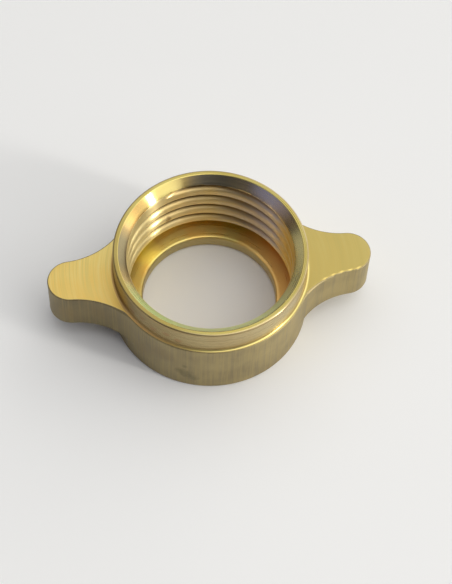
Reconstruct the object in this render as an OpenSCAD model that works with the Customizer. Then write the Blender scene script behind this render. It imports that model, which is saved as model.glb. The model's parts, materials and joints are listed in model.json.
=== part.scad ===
// Wing nut for a hose or pipe union: one piece of brass.
// A bored ring with an internal thread carries a turned collar on top, an inward lip at the
// bottom that pulls on the tail piece, and two opposite wings to tighten it by hand.
// Units are millimetres, +Z is up, and the origin is on the thread axis at the bottom face.

/* [Body] */
// Outside radius of the ring at the wings' level
body_r = 19; // [17:0.1:24]
// Height of the ring up to the level of the wings' top faces
body_h = 13; // [10:0.1:18]
// Edge break on the ring's bottom outer edge
base_break = 0.4; // [0.1:0.1:1]
// Edge break on the ring's top outer edge
ledge_break = 0.2; // [0.05:0.05:0.3]

/* [Collar] */
// Outside radius of the turned collar
collar_r = 18.4; // [17:0.1:18.6]
// Height of the whole nut, up to the collar's flat top
total_h = 18.4; // [16:0.1:26]
// Fillet left by the turning tool where the collar meets the ledge
corner_r = 0.35; // [0.1:0.05:0.4]
// Edge break on the collar's top outer edge
collar_break = 0.3; // [0.1:0.05:0.5]

/* [Wings] */
// Span over both wing tips
wing_span = 62; // [52:0.5:80]
// Radius of the round wing tip, which is half of the tip's width
tip_r = 4.35; // [3:0.05:6]
// Radius of the concave blend from the ring into a wing
blend_r = 14; // [10:0.5:18]
// Height of the wings' undersides above the bottom face
wing_floor = 4.4; // [2:0.1:8]

/* [Thread] */
// Pitch: eight turns to the inch
pitch = 3.175; // [2.5:0.005:4]
// Radius at the thread's crests, the smallest radius of the threaded bore
crest_r = 15.57; // [15:0.01:16]
// Radial depth of the groove
groove_depth = 1.5; // [0.8:0.05:1.6]
// Height of the land that stays between two turns of the groove
crest_land = 1.35; // [1:0.05:1.6]
// Angle of each flank from the plane across the axis
flank_angle = 15; // [5:1:20]
// Turn of the thread's lower end about the axis
thread_phase = 107; // [0:1:359]
// Height of the groove's middle at its upper end, near the mouth chamfer
groove_top = 16.5; // [14:0.1:17]
// Turn over which the groove fades out at its upper end
fade_turn = 27; // [9:9:90]

/* [Mouth and lip] */
// Largest radius of the mouth chamfer
mouth_r = 17.5; // [16.5:0.1:18]
// Depth of the mouth chamfer
mouth_depth = 1.7; // [1:0.1:3]
// Radius of the bore through the lip
lip_r = 13; // [11:0.1:15]
// Thickness of the lip
lip_h = 2.8; // [2:0.1:4]
// Edge break on both edges of the lip bore
lip_break = 0.5; // [0.1:0.05:0.6]
// Radius of the run-out groove between thread and lip
relief_r = 17.3; // [17.1:0.1:17.6]
// Height of the thread's lower end above the bottom face
thread_floor = 5.2; // [4.5:0.1:7]

/* [Part selection] */
// Piece to draw

/* [Hidden] */
BRASS = [0.80, 0.66, 0.36];

// how far the blend arcs reach into the ring and the tip, so that no two arcs only touch
BLEND_LAP = 0.01;
// how far a wing's root reaches into the ring's wall
ROOT_LAP = 0.9;
// how far the cutter that clears the wings' roots reaches past them, above and below
CUT_LAP = 1;
// how far the groove's cutter reaches past the crests into the open bore
OPEN_LAP = 0.6;
// share of the pitch by which the groove's first section lies inside the run-out
START_LAP = 0.125;
// share of the cutter's depth that is left at its upper end, all of it in the open bore
END_SHARE = 0.2;
// straight steps in one turn of the groove
STEPS = 40;
// points on the collar's corner fillet
CORNER_STEPS = 4;
ROUND = 180;

tip_x = wing_span / 2 - tip_r;
wing_h = body_h - wing_floor;

// the blend's centre stands off the ring's centre and the tip's centre by these two distances
from_ring = body_r + blend_r - BLEND_LAP;
from_tip = tip_r + blend_r - BLEND_LAP;
blend_x = (from_ring * from_ring - from_tip * from_tip + tip_x * tip_x) / (2 * tip_x);
blend_y = sqrt(from_ring * from_ring - blend_x * blend_x);

// the groove's half heights at its open side and at its root
open_r = crest_r - OPEN_LAP;
root_r = crest_r + groove_depth;
flank_run = tan(flank_angle);
half_mouth = (pitch - crest_land) / 2;
half_open = half_mouth + OPEN_LAP * flank_run;
half_root = half_mouth - groove_depth * flank_run;

// the groove starts inside the run-out and fades out under the mouth chamfer
groove_start = thread_floor - half_open - START_LAP * pitch;
turns = (groove_top - groove_start) / pitch;
stations = ceil(turns * STEPS);
fade_steps = fade_turn * STEPS / 360;

// One point of the groove's section: corner 0 to 3 at station i.
function groove_corner(i, r, dz) =
    let (a = thread_phase + i * 360 / STEPS)
    [r * cos(a), r * sin(a), groove_start + i * pitch / STEPS + dz];

// The cutter's outer radius at station i, drawn in where the groove fades out.
function groove_reach(i) =
    let (left = min(1, (stations - i) / fade_steps))
    open_r + (root_r - open_r) * (END_SHARE + (1 - END_SHARE) * left);

function groove_section(i) = [
    groove_corner(i, open_r, -half_open),
    groove_corner(i, groove_reach(i), -half_root),
    groove_corner(i, groove_reach(i), half_root),
    groove_corner(i, open_r, half_open)
];

// Two triangles for side k between stations i and i + 1.
function groove_side(i, k) =
    let (
        a = 4 * i + k,
        b = 4 * i + (k + 1) % 4,
        c = a + 4,
        d = b + 4
    )
    [[a, b, d], [a, d, c]];

module groove_cutter() {
    points = [for (i = [0:stations]) each groove_section(i)];
    last = 4 * stations;
    sides = [for (i = [0:stations - 1]) for (k = [0:3]) each groove_side(i, k)];
    first_cap = [[0, 2, 1], [0, 3, 2]];
    last_cap = [[last, last + 1, last + 2], [last, last + 2, last + 3]];
    polyhedron(points = points, faces = concat(first_cap, sides, last_cap), convexity = 10);
}

// The ring, the collar and the lip as one turned section, from the lip bore outwards and round.
module turned_section() {
    corner_x = collar_r + corner_r;
    corner_z = body_h + corner_r;
    corner = [
        for (i = [0:CORNER_STEPS])
            let (a = 270 - 90 * i / CORNER_STEPS)
            [corner_x + corner_r * cos(a), corner_z + corner_r * sin(a)]
    ];
    polygon(concat(
        [
            [lip_r + lip_break, 0],
            [body_r - base_break, 0],
            [body_r, base_break],
            [body_r, body_h - ledge_break],
            [body_r - ledge_break, body_h]
        ],
        corner,
        [
            [collar_r, total_h - collar_break],
            [collar_r - collar_break, total_h],
            [mouth_r, total_h],
            [crest_r, total_h - mouth_depth],
            [crest_r, thread_floor],
            [relief_r, thread_floor],
            [relief_r, lip_h],
            [lip_r + lip_break, lip_h],
            [lip_r, lip_h - lip_break],
            [lip_r, lip_break]
        ]
    ));
}

// One wing seen from above: a web with concave sides, closed by a round tip.
module wing_outline() {
    difference() {
        polygon([[0, 0], [blend_x, -blend_y], [tip_x, 0], [blend_x, blend_y]]);
        for (side = [-1, 1]) {
            translate([blend_x, side * blend_y]) circle(r = blend_r, $fn = ROUND);
        }
    }
    translate([tip_x, 0]) circle(r = tip_r, $fn = ROUND);
}

module wings() {
    difference() {
        for (turn = [0, 180]) {
            rotate([0, 0, turn])
                translate([0, 0, wing_floor])
                    linear_extrude(height = wing_h) wing_outline();
        }
        translate([0, 0, wing_floor - CUT_LAP])
            cylinder(r = body_r - ROOT_LAP, h = wing_h + 2 * CUT_LAP, $fn = ROUND);
    }
}

module wing_nut() {
    color(BRASS)
        union() {
            difference() {
                rotate_extrude($fn = ROUND) turned_section();
                groove_cutter();
            }
            wings();
        }
}

wing_nut();
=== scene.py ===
"""Looks of the wing nut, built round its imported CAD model.

The nut is one closed mesh. Its columns go once round the axis, and its strips of rows go once
round the nut's section: underside, side, wing top, collar, rim, thread, bore and lip.
Shape sizes are in millimetres and become metres when the mesh is made.
"""

import json
import math

import bmesh
import bpy
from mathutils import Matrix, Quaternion, Vector, noise


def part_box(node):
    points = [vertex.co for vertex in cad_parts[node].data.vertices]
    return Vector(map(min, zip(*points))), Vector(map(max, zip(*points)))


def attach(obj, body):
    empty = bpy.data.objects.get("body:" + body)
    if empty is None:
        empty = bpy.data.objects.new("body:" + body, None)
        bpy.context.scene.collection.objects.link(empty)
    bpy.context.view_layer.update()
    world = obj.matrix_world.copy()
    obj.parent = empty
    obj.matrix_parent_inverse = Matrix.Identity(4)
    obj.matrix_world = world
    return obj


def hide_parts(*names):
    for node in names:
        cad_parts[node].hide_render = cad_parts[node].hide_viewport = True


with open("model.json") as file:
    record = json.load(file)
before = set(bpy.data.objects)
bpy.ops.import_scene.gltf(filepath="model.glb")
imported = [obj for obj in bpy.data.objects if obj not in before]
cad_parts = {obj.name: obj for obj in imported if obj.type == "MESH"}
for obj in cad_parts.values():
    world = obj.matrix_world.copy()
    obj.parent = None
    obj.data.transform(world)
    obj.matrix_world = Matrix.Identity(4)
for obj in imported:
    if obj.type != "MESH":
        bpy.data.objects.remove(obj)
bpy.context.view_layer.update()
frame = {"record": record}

# ---------------------------------------------------------------- sizes, in millimetres

MM = 0.001
nut_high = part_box("wing_nut")[1] / MM
mounts = {mount["name"]: mount for mount in frame["record"]["mounts"]}

BODY_R = nut_high.y
TOTAL_H = nut_high.z
BODY_H = 13.0
BASE_ROUND = 0.4
# how uneven the drawn side is, and how fast its waves follow each other across and up the side
SIDE_SKIN = 0.05
SKIN_ACROSS = 0.35
SKIN_UP = 0.12

COLLAR_R = 18.4
COLLAR_ROUND = 0.3
# fillet at the collar's foot, on the ledge and on the wings
CORNER_R = 0.35
WING_CORNER_R = 0.5

TIP_R = 4.35
TIP_X = nut_high.x - TIP_R
BLEND_R = 14.0
WING_FLOOR = 4.4
WING_ROUND = 0.3
# fillet between a wing's underside and the ring
ROOT_COVE = 0.4
# distance past the ring over which a wing's own edges and fillets grow to their full size
WING_EASE = 0.8

# the top edge, and the two wing roots where it is worn rounder
TOP_ROUND = 0.2
WORN_ROUND = 0.55
WORN_TURNS = (math.radians(-150), math.radians(-28))
WORN_SPREAD = math.radians(9)
# largest share of the ledge that the top edge's rounding may take
LEDGE_SHARE = 0.8
# the row of small nicks on the near edge of one wing, and the border of the wing's top that dips
NICKS_FROM = 20.4
NICKS_TO = 29.0
NICK_STEP = 1.7
NICK_DEPTH = 0.19
NICK_WIDTH = 0.25

CREST_R = mounts["thread"]["dims"]["r_mm"]
PITCH = 3.175
# height of a groove's middle, and the turn where it has that height
GROOVE_Z = 3.730
GROOVE_TURN = math.radians(107)
THREAD_FLOOR = 5.2
# height of the groove's middle where it has faded out, and the rise over which it fades
GROOVE_TOP = 16.52
GROOVE_FADE = 0.2
# half of the groove's section, from its middle: flat root, root round, straight flank, crest
# round and flat crest add up to half a pitch. The flank's direction is measured from upright
ROOT_FLAT = 0.1
ROOT_ROUND = 0.25
FLANK = 0.594
FLANK_TURN = math.radians(75)
CREST_ROUND = 1.0
CREST_FLAT = 0.127

MOUTH_R = 17.5
MOUTH_DEPTH = 1.7
MOUTH_ROUND = 0.08
# how softly the mouth chamfer runs into the crests
MOUTH_BLEND = 0.45
RELIEF_R = 17.3
RELIEF_COVE = 0.3
LIP_R = mounts["lip_bore"]["dims"]["r_mm"]
LIP_H = mounts["lip_shoulder"]["pos_m"][2] / MM
LIP_ROUND = 0.5

# columns on each kind of arc of the outline
TIP_COLUMNS = 32
BLEND_COLUMNS = 36
RING_COLUMNS = 96
# rows on a small rounding, on the collar's top edge, on the fillet at its foot and up the side
ROUND_ROWS = 4
COLLAR_ROWS = 5
FOOT_ROWS = 6
SIDE_ROWS = 7
# gap between a sharp corner's own row and the next one
CORNER_GAP = 0.02
# points closer than this are joined
MERGE = 0.002
SHARP_ANGLE = math.radians(35)


# ---------------------------------------------------------------- camera

CAMERA_TARGET = Vector((3.59, 1.62, 0)) * MM
CAMERA_AZIMUTH = math.radians(-10.56)
CAMERA_ELEVATION = math.radians(58.91)
CAMERA_ROLL = math.radians(3.02)
CAMERA_DISTANCE = 331.5 * MM
CAMERA_LENS = 103.6
CAMERA_NEAR = 10 * MM


def direction(azimuth, elevation):
    """Unit vector towards an azimuth, turned from the -Y side, and an elevation, in radians."""
    flat = math.cos(elevation)
    return Vector((math.sin(azimuth) * flat, -math.cos(azimuth) * flat, math.sin(elevation)))


def make_camera():
    data = bpy.data.cameras.new("camera")
    data.lens = CAMERA_LENS
    data.clip_start = CAMERA_NEAR
    camera = bpy.data.objects.new("camera", data)
    back = direction(CAMERA_AZIMUTH, CAMERA_ELEVATION)
    camera.location = CAMERA_TARGET + back * CAMERA_DISTANCE
    camera.rotation_mode = "QUATERNION"
    roll = Quaternion((0, 0, 1), CAMERA_ROLL)
    camera.rotation_quaternion = (-back).to_track_quat("-Z", "Y") @ roll
    bpy.context.scene.collection.objects.link(camera)
    bpy.context.scene.camera = camera


# ---------------------------------------------------------------- outline

class Column:
    """One upright cut through the nut, from the axis to a point of the outline."""

    def __init__(self, x, y, normal_x, normal_y):
        self.x = x
        self.y = y
        self.normal_x = normal_x
        self.normal_y = normal_y
        self.reach = math.hypot(x, y)
        self.turn = math.atan2(y, x)
        # 0 on the plain ring, growing to 1 where a wing stands out from it
        self.wing = min(1, max(0, self.reach - BODY_R) / WING_EASE)
        self.corner_r = CORNER_R + (WING_CORNER_R - CORNER_R) * self.wing
        worn_round = TOP_ROUND + (WORN_ROUND - TOP_ROUND) * self.wear()
        self.top_round = min(worn_round, LEDGE_SHARE * (self.reach - COLLAR_R - self.corner_r))
        self.nick = self.nick_depth()

    def wear(self):
        """1 at a worn place of the top edge, falling to 0 beside it."""
        total = 0
        for turn in WORN_TURNS:
            off = math.remainder(self.turn - turn, math.tau) / WORN_SPREAD
            total += math.exp(-off * off)
        return total

    def nick_depth(self):
        """How far the top edge dips in the row of nicks."""
        if self.y > 0 or not NICKS_FROM < self.x < NICKS_TO:
            return 0
        wave = math.sin(math.pi * (self.x - NICKS_FROM) / NICK_STEP)
        return NICK_DEPTH * wave ** 4

    def at(self, radius, z):
        """The point at a radius from the axis."""
        return Vector((self.x / self.reach * radius, self.y / self.reach * radius, z))

    def inset(self, depth, z):
        """The point at a depth under the outline."""
        return Vector((self.x - self.normal_x * depth, self.y - self.normal_y * depth, z))

    def turned_half(self):
        return Column(-self.x, -self.y, -self.normal_x, -self.normal_y)


def arc_columns(centre_x, centre_y, radius, start, stop, steps):
    """Columns along an arc, without its last point. A clockwise arc is a hollow one."""
    side = 1 if stop > start else -1
    for i in range(steps):
        a = start + (stop - start) * i / steps
        c = math.cos(a)
        s = math.sin(a)
        yield Column(centre_x + radius * c, centre_y + radius * s, side * c, side * s)


def outline():
    """All columns, counter-clockwise. The last one repeats the first, a full turn on."""
    from_ring = BODY_R + BLEND_R
    from_tip = TIP_R + BLEND_R
    blend_x = (from_ring ** 2 - from_tip ** 2 + TIP_X ** 2) / (2 * TIP_X)
    blend_y = math.sqrt(from_ring ** 2 - blend_x ** 2)
    tip_end = math.atan2(blend_y, blend_x - TIP_X)
    ring_start = math.atan2(blend_y, blend_x)
    half = [
        *arc_columns(TIP_X, 0, TIP_R, -tip_end, tip_end, TIP_COLUMNS),
        *arc_columns(blend_x, blend_y, BLEND_R, tip_end + math.pi, ring_start + math.pi, BLEND_COLUMNS),
        *arc_columns(0, 0, BODY_R, ring_start, math.pi - ring_start, RING_COLUMNS),
        *arc_columns(-blend_x, blend_y, BLEND_R, -ring_start, -tip_end, BLEND_COLUMNS),
    ]
    columns = half + [column.turned_half() for column in half]
    for i in range(1, len(columns)):
        while columns[i].turn < columns[i - 1].turn:
            columns[i].turn += math.tau
    last = Column(half[0].x, half[0].y, half[0].normal_x, half[0].normal_y)
    last.turn = columns[0].turn + math.tau
    return columns + [last]


# ---------------------------------------------------------------- section strips

def eased(steps):
    """Shares from 0 to 1, closer together at both ends."""
    return [(1 - math.cos(math.pi * i / steps)) / 2 for i in range(steps + 1)]


def quarter(steps):
    """Sine and cosine of the angles from 0 to a quarter turn."""
    angles = [math.pi / 2 * i / steps for i in range(steps + 1)]
    return [(math.sin(a), math.cos(a)) for a in angles]


def between(start, stop, steps):
    return [start.lerp(stop, share) for share in eased(steps)]


def base_strip(column):
    return between(column.at(LIP_R + LIP_ROUND, 0), column.at(BODY_R - BASE_ROUND, 0), steps=6)


def lower_side_strip(column):
    """The ring's bottom edge, its side under a wing, and the fillet under the wing."""
    inner = BODY_R - BASE_ROUND
    cove = ROOT_COVE * column.wing
    points = []
    for s, c in quarter(ROUND_ROWS):
        points.append(column.at(inner + BASE_ROUND * s, BASE_ROUND * (1 - c)))
    for s, c in quarter(ROUND_ROWS):
        points.append(column.at(BODY_R + cove * (1 - c), WING_FLOOR - cove * (1 - s)))
    return points


def underside_strip(column):
    root = column.at(BODY_R + ROOT_COVE * column.wing, WING_FLOOR)
    edge = column.inset(WING_ROUND * column.wing, WING_FLOOR)
    return between(root, edge, steps=6)


def side_skin(column, z):
    """How far the side lies under the outline: a drawn bar's side is never quite even."""
    place = Vector((column.x * SKIN_ACROSS, column.y * SKIN_ACROSS, z * SKIN_UP))
    return SIDE_SKIN * (0.5 + 0.5 * noise.noise(place))


def side_strip(column):
    """The side from a wing's lower edge, or from the same height on the ring, to the top edge."""
    edge = WING_ROUND * column.wing
    top_round = column.top_round
    top = BODY_H - top_round
    points = []
    for s, c in quarter(ROUND_ROWS):
        points.append(column.inset(edge * (1 - s), WING_FLOOR + edge * (1 - c)))
    start = WING_FLOOR + edge
    for share in eased(SIDE_ROWS)[1:-1]:
        z = start + (top - start) * share
        points.append(column.inset(side_skin(column, z), z))
    for s, c in quarter(ROUND_ROWS):
        points.append(column.inset(top_round * (1 - c), top + (top_round - column.nick) * s))
    return points


def top_strip(column):
    edge = column.inset(column.top_round, BODY_H - column.nick)
    border = column.inset(column.top_round + NICK_WIDTH * column.wing, BODY_H)
    foot = column.at(COLLAR_R + column.corner_r, BODY_H)
    return [edge] + between(border, foot, steps=8)


def foot_strip(column):
    points = []
    corner = column.corner_r
    for s, c in quarter(FOOT_ROWS):
        points.append(column.at(COLLAR_R + corner * (1 - s), BODY_H + corner * (1 - c)))
    return points


def collar_strip(column):
    inner = COLLAR_R - COLLAR_ROUND
    foot = column.at(COLLAR_R, BODY_H + column.corner_r)
    points = between(foot, column.at(COLLAR_R, TOTAL_H - COLLAR_ROUND), steps=4)
    for s, c in quarter(COLLAR_ROWS)[1:]:
        points.append(column.at(inner + COLLAR_ROUND * c, TOTAL_H - COLLAR_ROUND * (1 - s)))
    return points


def soft_rise(rise):
    """The rise itself well above 0, nothing well below it, and a soft bend between."""
    return (rise + math.hypot(rise, MOUTH_BLEND)) / 2


def mouth_radius(z):
    """Radius of the mouth chamfer at a height, or of the crests under it."""
    share = soft_rise(z - (TOTAL_H - MOUTH_DEPTH)) / soft_rise(MOUTH_DEPTH)
    return CREST_R + (MOUTH_R - CREST_R) * share


def rim_strip(column):
    outer = column.at(COLLAR_R - COLLAR_ROUND, TOTAL_H)
    inner = column.at(MOUTH_R + MOUTH_ROUND, TOTAL_H)
    corner = column.at(MOUTH_R, TOTAL_H)
    floor = column.at(mouth_radius(TOTAL_H - MOUTH_ROUND), TOTAL_H - MOUTH_ROUND)
    points = between(outer, inner, steps=4)
    for i in range(1, 4):
        share = i / 3
        points.append(inner.lerp(corner, share).lerp(corner.lerp(floor, share), share))
    return points


def bend(points, radius, start, stop, steps):
    """Goes on from the last point round an arc. The angles are its directions, from upright."""
    z, depth = points[-1]
    reach = radius if stop > start else -radius
    for i in range(1, steps + 1):
        a = start + (stop - start) * i / steps
        rise = reach * (math.sin(a) - math.sin(start))
        run = reach * (math.cos(start) - math.cos(a))
        points.append((z + rise, depth + run))


def groove_profile():
    """(height, depth) pairs over one pitch, from one groove's middle up to the next one's."""
    half = [(0, 0), (ROOT_FLAT, 0)]
    bend(half, ROOT_ROUND, 0, FLANK_TURN, steps=4)
    z, risen = half[-1]
    half.append((z + FLANK * math.cos(FLANK_TURN), risen + FLANK * math.sin(FLANK_TURN)))
    bend(half, CREST_ROUND, FLANK_TURN, 0, steps=8)
    z, risen = half[-1]
    half.append((z + CREST_FLAT, risen))
    middle, full = half[-1]
    rising = [(z, full - risen) for z, risen in half]
    falling = [(2 * middle - z, depth) for z, depth in reversed(rising[:-1])]
    return rising + falling[:-1]


GROOVE = groove_profile()
# laps of rows round the axis: they start under the thread's floor and pass the mouth
LAPS = math.ceil((TOTAL_H - THREAD_FLOOR) / PITCH) + 3


def groove_depth(height):
    """Depth of the groove at any height over a groove's middle."""
    height %= PITCH
    closed = GROOVE + [(PITCH, GROOVE[0][1])]
    for (z0, depth0), (z1, depth1) in zip(closed, closed[1:]):
        if z0 <= height <= z1:
            return depth0 + (depth1 - depth0) * (height - z0) / (z1 - z0)
    return GROOVE[0][1]


def thread_strip(column):
    """Rows that follow the thread, from the mouth down, held between mouth and run-out."""
    start = GROOVE_Z + PITCH * ((column.turn - GROOVE_TURN) / math.tau - 1)
    mouth_top = TOTAL_H - MOUTH_ROUND
    points = []
    for lap in range(LAPS):
        for height, depth in GROOVE:
            z = start + PITCH * lap + height
            middle = z - height + (PITCH if height > PITCH / 2 else 0)
            held = min(max(z, THREAD_FLOOR), mouth_top)
            radius = mouth_radius(held)
            if z < THREAD_FLOOR:
                depth = groove_depth(THREAD_FLOOR - start)
            if z <= mouth_top:
                depth *= min(1, max(0, (GROOVE_TOP - middle) / GROOVE_FADE))
                radius = max(radius, CREST_R + depth)
            points.append(column.at(radius, held))
    return points[::-1]


def relief_strip(column):
    floor = LIP_H + RELIEF_COVE
    points = [column.at(RELIEF_R, THREAD_FLOOR)]
    wall_top = column.at(RELIEF_R, THREAD_FLOOR - CORNER_GAP)
    points += between(wall_top, column.at(RELIEF_R, floor), steps=3)
    for s, c in quarter(ROUND_ROWS)[1:]:
        points.append(column.at(RELIEF_R - RELIEF_COVE * (1 - c), floor - RELIEF_COVE * s))
    return points


def lip_strip(column):
    edge = LIP_R + LIP_ROUND
    points = between(column.at(RELIEF_R - RELIEF_COVE, LIP_H), column.at(edge, LIP_H), steps=5)
    for s, c in quarter(ROUND_ROWS)[1:-1]:
        points.append(column.at(edge - LIP_ROUND * s, LIP_H - LIP_ROUND * (1 - c)))
    points += between(column.at(LIP_R, LIP_H - LIP_ROUND), column.at(LIP_R, LIP_ROUND), steps=3)
    for s, c in quarter(ROUND_ROWS)[1:]:
        points.append(column.at(edge - LIP_ROUND * c, LIP_ROUND * (1 - s)))
    return points


# ---------------------------------------------------------------- materials

# range that most noise values keep to, and the narrower one that clouds fade over
NOISE_LOW = 0.3
NOISE_HIGH = 0.7
CLOUD_LOW = 0.38
CLOUD_HIGH = 0.62
# grain of a spot's ragged edge, and where it starts and stops to fade, as shares of its size
SPOT_GRAIN = 1400
SPOT_FULL = 0.8
SPOT_GONE = 1.4
# the shader counts this rotation in whole turns
QUARTER_TURN = 0.25


class Finish:
    """Builds one brass material. Patterns are laid by object coordinates, in metres."""

    def __init__(self, name):
        self.material = bpy.data.materials.new(name)
        self.material.use_nodes = True
        self.tree = self.material.node_tree
        self.shader = self.tree.nodes["Principled BSDF"]
        self.shader.inputs["Metallic"].default_value = 1.0
        self.place = self.node("ShaderNodeTexCoord").outputs["Object"]
        split = self.node("ShaderNodeSeparateXYZ", Vector=self.place)
        self.x, self.y, self.z = split.outputs
        flat = self.node("ShaderNodeCombineXYZ", X=self.x, Y=self.y)
        length = self.node("ShaderNodeVectorMath", operation="LENGTH", Vector=flat.outputs[0])
        self.radius = length.outputs["Value"]

    def node(self, kind, operation=None, **inputs):
        made = self.tree.nodes.new(kind)
        if operation:
            made.operation = operation
        for name, value in inputs.items():
            self.feed(made.inputs[name], value)
        return made

    def feed(self, socket, value):
        if isinstance(value, bpy.types.NodeSocket):
            self.tree.links.new(value, socket)
        else:
            socket.default_value = value

    def math(self, operation, a, b):
        made = self.node("ShaderNodeMath", operation)
        self.feed(made.inputs[0], a)
        self.feed(made.inputs[1], b)
        return made.outputs[0]

    def times(self, a, b):
        return self.math("MULTIPLY", a, b)

    def noise(self, vector, scale=1.0, detail=2.0):
        made = self.node("ShaderNodeTexNoise", Vector=vector, Scale=scale, Detail=detail)
        return made.outputs["Fac"]

    def remap(self, value, start, stop, low, high):
        made = self.node("ShaderNodeMapRange")
        for socket, given in zip(made.inputs, (value, start, stop, low, high)):
            self.feed(socket, given)
        return made.outputs[0]

    def mix(self, share, first, second):
        made = self.node("ShaderNodeMix")
        made.data_type = "RGBA"
        self.feed(made.inputs["Factor"], share)
        for socket, given in zip([s for s in made.inputs if s.type == "RGBA"], (first, second)):
            self.feed(socket, given if isinstance(given, bpy.types.NodeSocket) else (*given, 1))
        return [s for s in made.outputs if s.type == "RGBA"][0]

    def turning(self, per_metre, around):
        """Coordinates for marks that run round the axis, on faces, cones and bores alike."""
        across = self.times(self.math("ADD", self.radius, self.z), per_metre)
        cosine = self.times(self.math("DIVIDE", self.x, self.radius), around)
        sine = self.times(self.math("DIVIDE", self.y, self.radius), around)
        return self.node("ShaderNodeCombineXYZ", X=cosine, Y=sine, Z=across).outputs[0]

    def drawing(self, per_metre, along):
        """Coordinates for marks that run straight up the sides."""
        x = self.times(self.x, per_metre)
        y = self.times(self.y, per_metre)
        z = self.times(self.z, along)
        return self.node("ShaderNodeCombineXYZ", X=x, Y=y, Z=z).outputs[0]

    def towards(self, turn, spread):
        """1 on the side of the nut that faces a turn about the axis, 0 past the spread from it."""
        along_x = self.times(self.x, math.cos(math.radians(turn)))
        along_y = self.times(self.y, math.sin(math.radians(turn)))
        lean = self.math("DIVIDE", self.math("ADD", along_x, along_y), self.radius)
        return self.remap(lean, math.cos(math.radians(spread)), math.cos(math.radians(spread / 3)), 0, 1)

    def spot(self, turn, radius, height, size, strength):
        """A soft-edged patch round a point. The turn is in degrees, the rest in millimetres."""
        x = radius * math.cos(math.radians(turn)) * MM
        y = radius * math.sin(math.radians(turn)) * MM
        ragged = self.times(self.noise(self.place, scale=SPOT_GRAIN), size * MM)
        gap = self.node("ShaderNodeVectorMath", operation="DISTANCE")
        self.feed(gap.inputs[0], self.place)
        gap.inputs[1].default_value = (x, y, height * MM)
        reach = self.math("ADD", gap.outputs["Value"], ragged)
        return self.remap(reach, size * SPOT_GONE * MM, size * SPOT_FULL * MM, 0, strength)

    def clouded(self, first, second, scale):
        """Two colours in soft clouds."""
        cloud = self.noise(self.place, scale=scale, detail=3)
        return self.mix(self.remap(cloud, CLOUD_LOW, CLOUD_HIGH, 0, 1), first, second)

    def sided(self, tint, sides, mask=1.0):
        """Lays (turn, spread, share, colour) tints over the sides that they face. Angles in degrees."""
        for turn, spread, share, colour in sides:
            amount = self.times(self.times(self.towards(turn, spread), share), mask)
            tint = self.mix(amount, tint, colour)
        return tint

    def spotted(self, tint, spots, strength, colour):
        """Lays (turn, radius, height, size) spots of one colour, measured as in spot."""
        for turn, radius, height, size in spots:
            tint = self.mix(self.spot(turn, radius, height, size, strength), tint, colour)
        return tint

    def surface(self, tint, marks, smooth, rough):
        """Sets the colour, and a roughness that the marks change between two values."""
        self.feed(self.shader.inputs["Base Color"], tint)
        roughness = self.remap(marks, NOISE_LOW, NOISE_HIGH, smooth, rough)
        self.feed(self.shader.inputs["Roughness"], roughness)

    def bump(self, height, depth):
        made = self.node("ShaderNodeBump", Height=height, Distance=depth, Strength=1.0)
        self.feed(self.shader.inputs["Normal"], made.outputs[0])

    def turned(self, anisotropy):
        """Stretches highlights across the turning marks."""
        across = self.node("ShaderNodeVectorMath", operation="CROSS_PRODUCT")
        across.inputs[0].default_value = (0, 0, 1)
        self.feed(across.inputs[1], self.place)
        around = self.node("ShaderNodeVectorMath", operation="NORMALIZE", Vector=across.outputs[0])
        self.feed(self.shader.inputs["Tangent"], around.outputs[0])
        self.shader.inputs["Anisotropic"].default_value = anisotropy
        self.shader.inputs["Anisotropic Rotation"].default_value = QUARTER_TURN


BRASS_DULL = (0.50, 0.405, 0.20)
BRASS_DARK = (0.35, 0.285, 0.15)
RUST = (0.34, 0.18, 0.07)

FACED_PALE = (0.86, 0.68, 0.235)
FACED_WARM = (0.86, 0.62, 0.18)
FACED_LIGHT = (0.88, 0.74, 0.32)
FACED_OLIVE = (0.72, 0.58, 0.20)
# share of the fine marks in the sum of fine and broad ones
FINE_SHARE = 0.6
# one wing's root is more orange, and painted shade darkens the other wing
FACED_ROOT = [(-150, 40, 0.7, (0.88, 0.58, 0.15))]
FACED_SHADE = [(0, 75, 0.75, (0.60, 0.48, 0.155))]
# the facing marks show less on the nut's near side, between these places along Y
MARKS_FAINT_Y = -5 * MM
MARKS_CLEAR_Y = 4 * MM


def faced_brass():
    """Wing tops, ledge and base: the arcs of a facing cut, round the axis, and painted shade on the wing
    that faces turn 0.
    """
    finish = Finish("faced_brass")
    fine = finish.noise(finish.turning(per_metre=4200, around=1.6))
    broad = finish.noise(finish.turning(per_metre=1500, around=2.4))
    marks = finish.math("ADD", finish.times(fine, FINE_SHARE), finish.times(broad, 1 - FINE_SHARE))
    tint = finish.clouded(FACED_WARM, FACED_PALE, scale=110)
    tint = finish.sided(tint, FACED_ROOT)
    clear = finish.remap(finish.y, MARKS_FAINT_Y, MARKS_CLEAR_Y, 0.35, 1)
    light = finish.remap(marks, 0.5, 0.62, 0, 0.7)
    dark = finish.remap(marks, 0.49, 0.38, 0, 0.8)
    tint = finish.mix(finish.times(light, clear), tint, FACED_LIGHT)
    tint = finish.mix(finish.times(dark, clear), tint, FACED_OLIVE)
    # painted shade on the wing that faces turn 0
    tint = finish.sided(tint, FACED_SHADE)
    finish.surface(tint, marks, smooth=0.28, rough=0.40)
    finish.turned(anisotropy=0.5)
    finish.bump(marks, depth=0.01 * MM)
    return finish.material


FOOT_ORANGE = (0.74, 0.46, 0.15)
FOOT_YELLOW = (0.84, 0.72, 0.27)
# brown of the fine marks, and of the painted shade at the collar's foot
MARK_AND_SHADE_BROWN = (0.40, 0.28, 0.13)
# heights between which painted shade turns the fillet brown, towards the corner at the collar
FOOT_SHADE_LOW = (BODY_H + 0.06) * MM
FOOT_SHADE_HIGH = (BODY_H + 0.3) * MM


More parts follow.
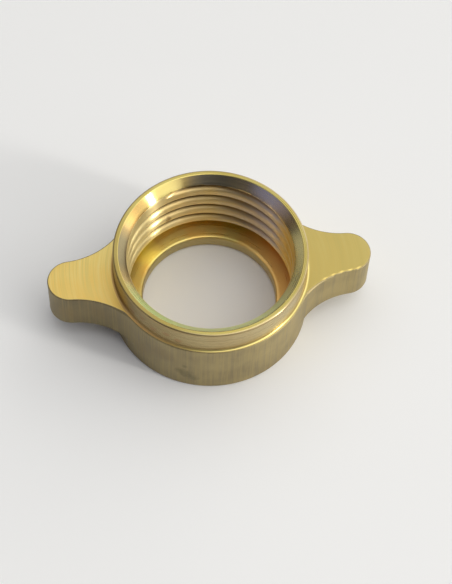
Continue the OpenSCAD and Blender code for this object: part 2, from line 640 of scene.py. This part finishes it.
def foot_brass():
    """The fillet at the collar's foot, browner upwards with painted shade in the corner, and more orange
    at one wing.
    """
    finish = Finish("foot_brass")
    fine = finish.noise(finish.turning(per_metre=4200, around=0.5))
    tint = finish.mix(finish.towards(-160, spread=60), FOOT_YELLOW, FOOT_ORANGE)
    tint = finish.mix(finish.remap(fine, 0.45, 0.65, 0, 0.4), tint, MARK_AND_SHADE_BROWN)
    # painted shade in the corner under the collar
    tint = finish.mix(finish.remap(finish.z, FOOT_SHADE_LOW, FOOT_SHADE_HIGH, 0, 0.9), tint, MARK_AND_SHADE_BROWN)
    finish.surface(tint, fine, smooth=0.32, rough=0.42)
    finish.turned(anisotropy=0.6)
    return finish.material


COLLAR_PALE = (0.62, 0.51, 0.27)
COLLAR_BROWN = (0.54, 0.42, 0.21)
COLLAR_SHADE = (0.30, 0.22, 0.08)
# places along X between which painted shade darkens the collar on the side away from the light
COLLAR_LIT_X = 2 * MM
COLLAR_SHADED_X = -16 * MM
# heights between which painted shade fades in at the collar's foot, under its top edge, and out on that
# edge
COLLAR_FOOT_LIT = (BODY_H + 1.3) * MM
COLLAR_FOOT_SHADED = (BODY_H + 0.3) * MM
COLLAR_TOP_LIT = (TOTAL_H - 0.55) * MM
COLLAR_TOP_SHADED = (TOTAL_H - 0.35) * MM
EDGE_SHADED = (TOTAL_H - 0.12) * MM
EDGE_LIT = (TOTAL_H - 0.04) * MM
# painted shade under the top edge, on the front side
COLLAR_FRONT_SHADE = [(-90, 90, 1.0, MARK_AND_SHADE_BROWN)]
COLLAR_SPOTS = [
    (-150, COLLAR_R, 15.2, 1.2),
    (-141, COLLAR_R, 16.0, 1.0),
    (-133, COLLAR_R, 15.0, 1.1),
    (-124, COLLAR_R, 15.6, 0.9),
    (-117, COLLAR_R, 14.8, 1.0),
]


def collar_brass():
    """The collar's side: turned, a little tarnished, and with painted shade at its foot, under its top
    edge at the front, and on the side away from the light.
    """
    finish = Finish("collar_brass")
    fine = finish.noise(finish.turning(per_metre=4200, around=0.5), detail=3)
    tint = finish.clouded(COLLAR_PALE, COLLAR_BROWN, scale=110)
    tint = finish.mix(finish.remap(fine, 0.5, 0.75, 0, 0.45), tint, BRASS_DARK)
    # painted shade on the side away from the light
    tint = finish.mix(finish.remap(finish.x, COLLAR_LIT_X, COLLAR_SHADED_X, 0, 0.95), tint, COLLAR_SHADE)
    # painted shade in the corner at the collar's foot
    foot = finish.remap(finish.z, COLLAR_FOOT_LIT, COLLAR_FOOT_SHADED, 0, 0.6)
    tint = finish.mix(foot, tint, MARK_AND_SHADE_BROWN)
    # painted shade under the top edge, on the front side
    under_rim_shade = finish.remap(finish.z, COLLAR_TOP_LIT, COLLAR_TOP_SHADED, 0, 0.6)
    top_edge = finish.remap(finish.z, EDGE_SHADED, EDGE_LIT, 1, 0)
    tint = finish.sided(tint, COLLAR_FRONT_SHADE, finish.times(under_rim_shade, top_edge))
    tint = finish.spotted(tint, COLLAR_SPOTS, strength=0.6, colour=RUST)
    finish.surface(tint, fine, smooth=0.24, rough=0.36)
    finish.turned(anisotropy=0.7)
    finish.bump(fine, depth=0.005 * MM)
    return finish.material


RIM_PALE = (0.69, 0.57, 0.19)
RIM_WARM = (0.65, 0.51, 0.14)
RIM_OLIVE = (0.66, 0.60, 0.28)
# painted shade on the side away from the light
RIM_SHADE_SIDES = [(-160, 60, 0.7, (0.48, 0.36, 0.11))]


def rim_brass():
    """The collar's flat top and its inner edge, with painted shade on the side away from the light."""
    finish = Finish("rim_brass")
    fine = finish.noise(finish.turning(per_metre=7000, around=0.7))
    tint = finish.clouded(RIM_PALE, RIM_WARM, scale=110)
    tint = finish.mix(finish.remap(fine, 0.5, 0.7, 0, 0.3), tint, RIM_OLIVE)
    tint = finish.sided(tint, RIM_SHADE_SIDES)
    finish.surface(tint, fine, smooth=0.2, rough=0.3)
    finish.turned(anisotropy=0.8)
    finish.bump(fine, depth=0.004 * MM)
    return finish.material


CUT_PALE = (0.92, 0.71, 0.34)
CUT_WARM = (0.92, 0.66, 0.26)
CUT_GREY = (0.58, 0.49, 0.41)
CUT_ORANGE = (1.0, 0.66, 0.19)
CUT_BRIGHT = (1.0, 0.83, 0.40)
CHAMFER_DARK = (0.42, 0.37, 0.27)
CHAMFER_GOLD = (0.86, 0.71, 0.25)
CHAMFER_PEACH = (0.90, 0.58, 0.19)
CHAMFER_YELLOW = (1.0, 0.90, 0.46)
CHAMFER_RED = (0.62, 0.42, 0.24)
CHAMFER_GREEN = (0.90, 0.95, 0.50)
CHAMFER_OLIVE = (0.74, 0.88, 0.40)
CHAMFER_BROWN = (0.27, 0.25, 0.16)
# painted shade in the groove
GROOVE_SHADE = (0.16, 0.10, 0.045)
# painted reflections and painted light on thread and chamfer together, on the thread alone, and on the
# chamfer alone
CUT_REFLECTION_SIDES = [(42, 40, 0.75, CUT_GREY)]
THREAD_LIGHT_AND_REFLECTION_SIDES = [
    (5, 25, 1.0, CUT_ORANGE),
    (160, 60, 1.0, CUT_BRIGHT),
]
CHAMFER_REFLECTION_SIDES = [
    (80, 20, 1.0, CHAMFER_DARK),
    (120, 24, 1.0, CHAMFER_GOLD),
    (158, 40, 1.0, CHAMFER_PEACH),
    (-15, 48, 1.0, CHAMFER_YELLOW),
    (23, 14, 0.8, CHAMFER_RED),
    (-90, 80, 1.0, CHAMFER_GREEN),
    (-138, 28, 1.0, CHAMFER_OLIVE),
    (172, 26, 0.9, CHAMFER_BROWN),
]
# heights between which the thread's finish gives way to the chamfer's
CHAMFER_LOW = (TOTAL_H - MOUTH_DEPTH) * MM
CHAMFER_FULL = CHAMFER_LOW + 0.2 * MM
# radii between which painted shade fills the groove
GROOVE_LIT = (CREST_R + 0.3) * MM
GROOVE_SHADED = (CREST_R + 1.0) * MM
THREAD_SPOTS = [(113.5, 15.8, 8.7, 0.9)]
THREAD_ROUGH = 0.34
CHAMFER_ROUGH = 0.2
# how much rougher the chamfer is at the front, and how much the marks change the roughness
FRONT_ROUGH = 0.16
MARKS_ROUGH = 0.04


def threaded_brass():
    """Thread and mouth chamfer: cut surfaces, with painted shade in the groove and painted reflections
    and painted light tinting the sides.
    """
    finish = Finish("threaded_brass")
    fine = finish.noise(finish.turning(per_metre=3000, around=1.0))
    mouth = finish.remap(finish.z, CHAMFER_LOW, CHAMFER_FULL, 0, 1)
    below = finish.math("SUBTRACT", 1.0, mouth)
    tint = finish.clouded(CUT_WARM, CUT_PALE, scale=140)
    # painted reflections and painted light, laid on by the side they face
    tint = finish.sided(tint, CUT_REFLECTION_SIDES)
    tint = finish.sided(tint, THREAD_LIGHT_AND_REFLECTION_SIDES, below)
    tint = finish.sided(tint, CHAMFER_REFLECTION_SIDES, mouth)
    # less painted shade in the groove on two sides
    unshaded_right = finish.times(finish.towards(40, spread=50), 0.7)
    unshaded_left = finish.times(finish.towards(165, spread=40), 0.55)
    clean = finish.math("MAXIMUM", unshaded_right, unshaded_left)
    # painted shade, darker deeper in the groove
    groove_shade = finish.remap(finish.radius, GROOVE_LIT, GROOVE_SHADED, 0, 0.92)
    groove_shade = finish.times(groove_shade, finish.math("SUBTRACT", 1.0, clean))
    tint = finish.mix(finish.times(groove_shade, below), tint, GROOVE_SHADE)
    tint = finish.spotted(tint, THREAD_SPOTS, strength=0.8, colour=RUST)
    base = finish.remap(mouth, 0, 1, THREAD_ROUGH, CHAMFER_ROUGH)
    front = finish.times(finish.times(finish.towards(-90, spread=80), mouth), FRONT_ROUGH)
    middle = finish.math("ADD", base, front)
    smooth = finish.math("SUBTRACT", middle, MARKS_ROUGH)
    rough = finish.math("ADD", middle, MARKS_ROUGH)
    finish.surface(tint, fine, smooth, rough)
    finish.turned(anisotropy=0.97)
    finish.bump(fine, depth=0.002 * MM)
    return finish.material


BORE_WARM = (0.78, 0.54, 0.16)
BORE_OLIVE = (0.72, 0.59, 0.20)
# painted reflections: orange on one side, and a yellow glint
BORE_REFLECTION_SIDES = [
    (0, 60, 1.0, (0.88, 0.57, 0.20)),
    (135, 12, 0.6, (1.0, 0.90, 0.24)),
]
BORE_SPOTS = [
    (93.2, 17.0, 3.2, 0.5),
    (89.9, 17.0, 3.2, 0.5),
]
# radii between which the lip bore's dull wall gives way to the shoulder
LIP_WALL = (LIP_R + 0.02) * MM
LIP_CLEAR = LIP_WALL + 0.2 * MM


def bored_brass():
    """Run-out groove and lip: a rougher and warmer bored skin, with a painted glint and a painted orange
    reflection on two sides.
    """
    finish = Finish("bored_brass")
    fine = finish.noise(finish.turning(per_metre=3500, around=1.5))
    tint = finish.clouded(BORE_WARM, BORE_OLIVE, scale=200)
    tint = finish.sided(tint, BORE_REFLECTION_SIDES)
    tint = finish.mix(finish.remap(finish.radius, LIP_WALL, LIP_CLEAR, 0.8, 0), tint, BRASS_DULL)
    tint = finish.spotted(tint, BORE_SPOTS, strength=0.75, colour=RUST)
    finish.surface(tint, fine, smooth=0.26, rough=0.36)
    finish.turned(anisotropy=0.8)
    finish.bump(fine, depth=0.004 * MM)
    return finish.material


DRAWN_BRIGHT = (0.58, 0.46, 0.22)
# dark of the upright lines, and of the painted shade on the side away from the light
DRAWN_DARK_AND_SHADE = (0.14, 0.115, 0.075)
DRAWN_BROWN = (0.25, 0.18, 0.09)
DRAWN_STAIN = (0.20, 0.17, 0.09)
# places along X between which painted shade darkens the side, browner clouds there, and stains at the
# front
SIDE_LIT_X = 6 * MM
SIDE_SHADED_X = -22 * MM
BROWN_CLOUDS = [
    (-173, 28, 8, 3.5),
    (-165, 23, 9, 3.0),
    (-140, 19, 6, 3.0),
    (-125, 19, 9, 3.0),
]
STAINS = [
    (-115, BODY_R, 4.8, 1.5),
    (-111.5, BODY_R, 4.2, 2.0),
    (-107.5, BODY_R, 3.1, 1.7),
    (-112, BODY_R, 6.8, 0.8),
]


def drawn_brass():
    """Sides of the ring and wings: the dull skin of the drawn bar, with upright lines, and painted shade
    on the side away from the light.
    """
    finish = Finish("drawn_brass")
    lines = finish.noise(finish.drawing(per_metre=2900, along=70), detail=3)
    cloud = finish.noise(finish.place, scale=160, detail=4)
    tint = finish.mix(finish.remap(cloud, 0.35, 0.68, 0, 1), BRASS_DULL, BRASS_DARK)
    tint = finish.mix(finish.remap(lines, 0.45, 0.7, 0, 0.5), tint, BRASS_DULL)
    # painted shade, darker away from the light
    side_shade = finish.remap(finish.x, SIDE_LIT_X, SIDE_SHADED_X, 0, 0.6)
    tint = finish.mix(side_shade, tint, DRAWN_DARK_AND_SHADE)
    tint = finish.mix(finish.remap(lines, 0.50, 0.62, 0, 0.2), tint, DRAWN_BRIGHT)
    tint = finish.mix(finish.remap(lines, 0.46, 0.36, 0, 0.2), tint, DRAWN_DARK_AND_SHADE)
    tint = finish.spotted(tint, BROWN_CLOUDS, strength=0.3, colour=DRAWN_BROWN)
    tint = finish.spotted(tint, STAINS, strength=0.55, colour=DRAWN_STAIN)
    finish.surface(tint, lines, smooth=0.42, rough=0.6)
    finish.bump(lines, depth=0.01 * MM)
    return finish.material


# ---------------------------------------------------------------- the nut's mesh

FINISHES = [faced_brass, foot_brass, collar_brass, rim_brass, threaded_brass, bored_brass, drawn_brass]

# the strips in their order round the section, each with its finish
STRIPS = [
    (base_strip, faced_brass),
    (lower_side_strip, drawn_brass),
    (underside_strip, drawn_brass),
    (side_strip, drawn_brass),
    (top_strip, faced_brass),
    (foot_strip, foot_brass),
    (collar_strip, collar_brass),
    (rim_strip, rim_brass),
    (thread_strip, threaded_brass),
    (relief_strip, bored_brass),
    (lip_strip, bored_brass),
]


def section(column):
    """Points of one column, and for each point the number of its finish."""
    points = []
    slots = []
    for strip, finish in STRIPS:
        made = strip(column)
        points += made
        slots += [FINISHES.index(finish)] * len(made)
    return points, slots


def build_nut():
    columns = outline()
    vertices = []
    for column in columns:
        points, slots = section(column)
        vertices += points
    rows = len(slots)
    faces = []
    face_slots = []
    for c in range(len(columns) - 1):
        for r in range(rows):
            after = (r + 1) % rows
            here = c * rows
            there = here + rows
            faces.append((here + r, there + r, there + after, here + after))
            face_slots.append(slots[after] if after else slots[r])
    mesh = bpy.data.meshes.new("wing_nut_brass")
    mesh.from_pydata([point * MM for point in vertices], [], faces)
    for finish in FINISHES:
        mesh.materials.append(finish())
    mesh.polygons.foreach_set("material_index", face_slots)
    clean(mesh)
    nut = bpy.data.objects.new("wing_nut_brass", mesh)
    bpy.context.scene.collection.objects.link(nut)
    return nut


def clean(mesh):
    """Joins the seam, drops the faces of no size where strips meet, and shades it smooth."""
    bm = bmesh.new()
    bm.from_mesh(mesh)
    bmesh.ops.remove_doubles(bm, verts=bm.verts, dist=MERGE * MM)
    bmesh.ops.dissolve_degenerate(bm, edges=bm.edges, dist=MERGE * MM)
    bmesh.ops.recalc_face_normals(bm, faces=bm.faces)
    for face in bm.faces:
        face.smooth = True
    bm.to_mesh(mesh)
    bm.free()


def smooth_shading(nut):
    nut.data.set_sharp_from_angle(angle=SHARP_ANGLE)
    weights = nut.modifiers.new("weighted_normals", "WEIGHTED_NORMAL")
    weights.keep_sharp = True


# ---------------------------------------------------------------- stage and light

# half of the floor's side, in metres
FLOOR_HALF = 3.0
FLOOR_COLOUR = (0.92, 0.92, 0.91, 1)
FLOOR_ROUGH = 0.9

# soft bright regions of the surroundings: azimuth, elevation, the angles from the middle where
# a region starts and stops to fade, and its radiance
SKY_REGIONS = [
    (62, 68, 8, 34, (1.8, 1.79, 1.75)),
    (124, 12, 24, 48, (1.40, 1.38, 1.33)),
    (198, 60, 14, 44, (0.72, 0.72, 0.71)),
    (-78, 36, 8, 26, (0.15, 0.19, 0.42)),
    (-130, 10, 6, 22, (0.24, 0.23, 0.20)),
    (-80, 2, 6, 22, (0.22, 0.21, 0.19)),
]
SKY_BASE = (0.095, 0.092, 0.088)


def make_floor():
    mesh = bpy.data.meshes.new("floor")
    half = FLOOR_HALF
    corners = [(-half, -half, 0), (half, -half, 0), (half, half, 0), (-half, half, 0)]
    mesh.from_pydata(corners, [], [(0, 1, 2, 3)])
    material = bpy.data.materials.new("pale_floor")
    material.use_nodes = True
    shader = material.node_tree.nodes["Principled BSDF"]
    shader.inputs["Base Color"].default_value = FLOOR_COLOUR
    shader.inputs["Roughness"].default_value = FLOOR_ROUGH
    mesh.materials.append(material)
    floor = bpy.data.objects.new("floor", mesh)
    bpy.context.scene.collection.objects.link(floor)


def area_light(name, azimuth, elevation, distance, width, height, radiance, colour):
    """A rectangular light aimed at the nut. Azimuth and elevation are in degrees, sizes in metres."""
    data = bpy.data.lights.new(name, "AREA")
    data.shape = "RECTANGLE"
    data.size = width
    data.size_y = height
    data.energy = radiance * math.pi * width * height
    data.color = colour
    light = bpy.data.objects.new(name, data)
    away = direction(math.radians(azimuth), math.radians(elevation))
    light.location = away * distance + Vector((0, 0, TOTAL_H / 2 * MM))
    light.rotation_mode = "QUATERNION"
    light.rotation_quaternion = away.to_track_quat("Z", "Y")
    bpy.context.scene.collection.objects.link(light)


def make_lights():
    area_light(
        "key", azimuth=60, elevation=21, distance=1.0,
        width=0.09, height=0.2, radiance=50.0, colour=(1.0, 0.98, 0.95),
    )
    area_light(
        "window", azimuth=63, elevation=30, distance=1.2,
        width=1.5, height=0.6, radiance=1.05, colour=(1.0, 0.99, 0.97),
    )


def make_world():
    """Dim grey surroundings with a few soft brighter regions."""
    world = bpy.data.worlds.new("studio")
    bpy.context.scene.world = world
    world.use_nodes = True
    tree = world.node_tree
    background = tree.nodes["Background"]
    place = tree.nodes.new("ShaderNodeTexCoord")
    total = None
    for azimuth, elevation, inner, outer, radiance in SKY_REGIONS:
        lean = tree.nodes.new("ShaderNodeVectorMath")
        lean.operation = "DOT_PRODUCT"
        lean.inputs[1].default_value = direction(math.radians(azimuth), math.radians(elevation))
        fade = tree.nodes.new("ShaderNodeMapRange")
        fade.interpolation_type = "SMOOTHSTEP"
        fade.inputs["From Min"].default_value = math.cos(math.radians(outer))
        fade.inputs["From Max"].default_value = math.cos(math.radians(inner))
        glow = tree.nodes.new("ShaderNodeVectorMath")
        glow.operation = "MULTIPLY_ADD"
        glow.inputs[1].default_value = radiance
        glow.inputs[2].default_value = SKY_BASE
        tree.links.new(place.outputs["Generated"], lean.inputs[0])
        tree.links.new(lean.outputs["Value"], fade.inputs["Value"])
        tree.links.new(fade.outputs[0], glow.inputs[0])
        if total:
            tree.links.new(total, glow.inputs[2])
        total = glow.outputs[0]
    tree.links.new(total, background.inputs["Color"])


make_camera()
brass_nut = build_nut()
smooth_shading(brass_nut)
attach(brass_nut, "root")
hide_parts("wing_nut")
make_floor()
make_world()
make_lights()
bpy.context.scene.view_settings.view_transform = "Standard"

bpy.context.view_layer.update()
